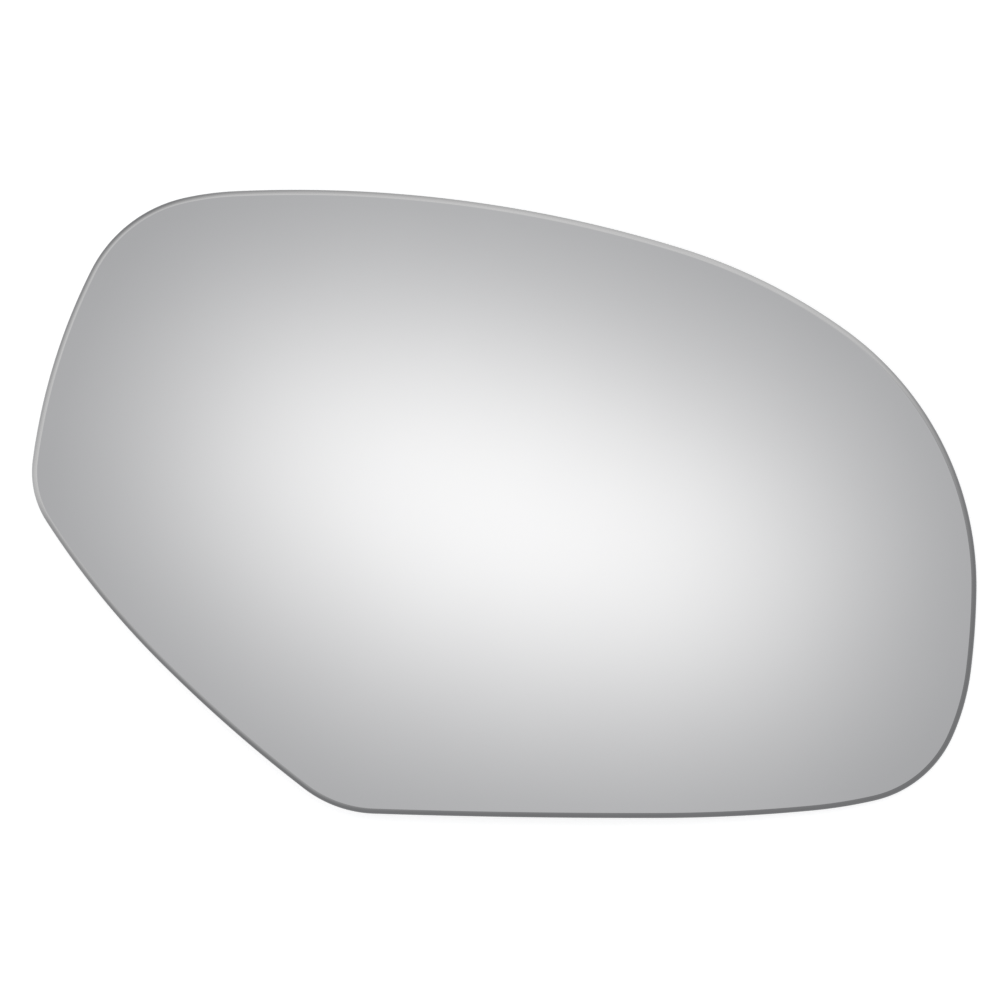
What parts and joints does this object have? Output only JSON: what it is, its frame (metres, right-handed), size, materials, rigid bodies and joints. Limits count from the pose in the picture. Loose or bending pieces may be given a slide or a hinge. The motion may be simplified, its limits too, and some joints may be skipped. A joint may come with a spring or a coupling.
{
  "type": "car door mirror glass",
  "caption": "Convex glass for a car door mirror: a bent sheet with a rounded outline and a cut lower corner, mirror coated on its face, with a narrow ground bevel round its edge.",
  "frame": {"origin": "middle of the sheet's box, on the surface that the sheet lies on, face up", "axes": "+Z out of the mirror face, +X to the outboard end, +Y to the upper side"},
  "size_m": [0.234, 0.1556, 0.0075],
  "materials": {
    "mirror_glass": "mirror coated face, ground edge, grey painted back"
  },
  "bodies": {
    "root": {"mirror_glass": "mirror_glass"}
  },
  "joints": []
}
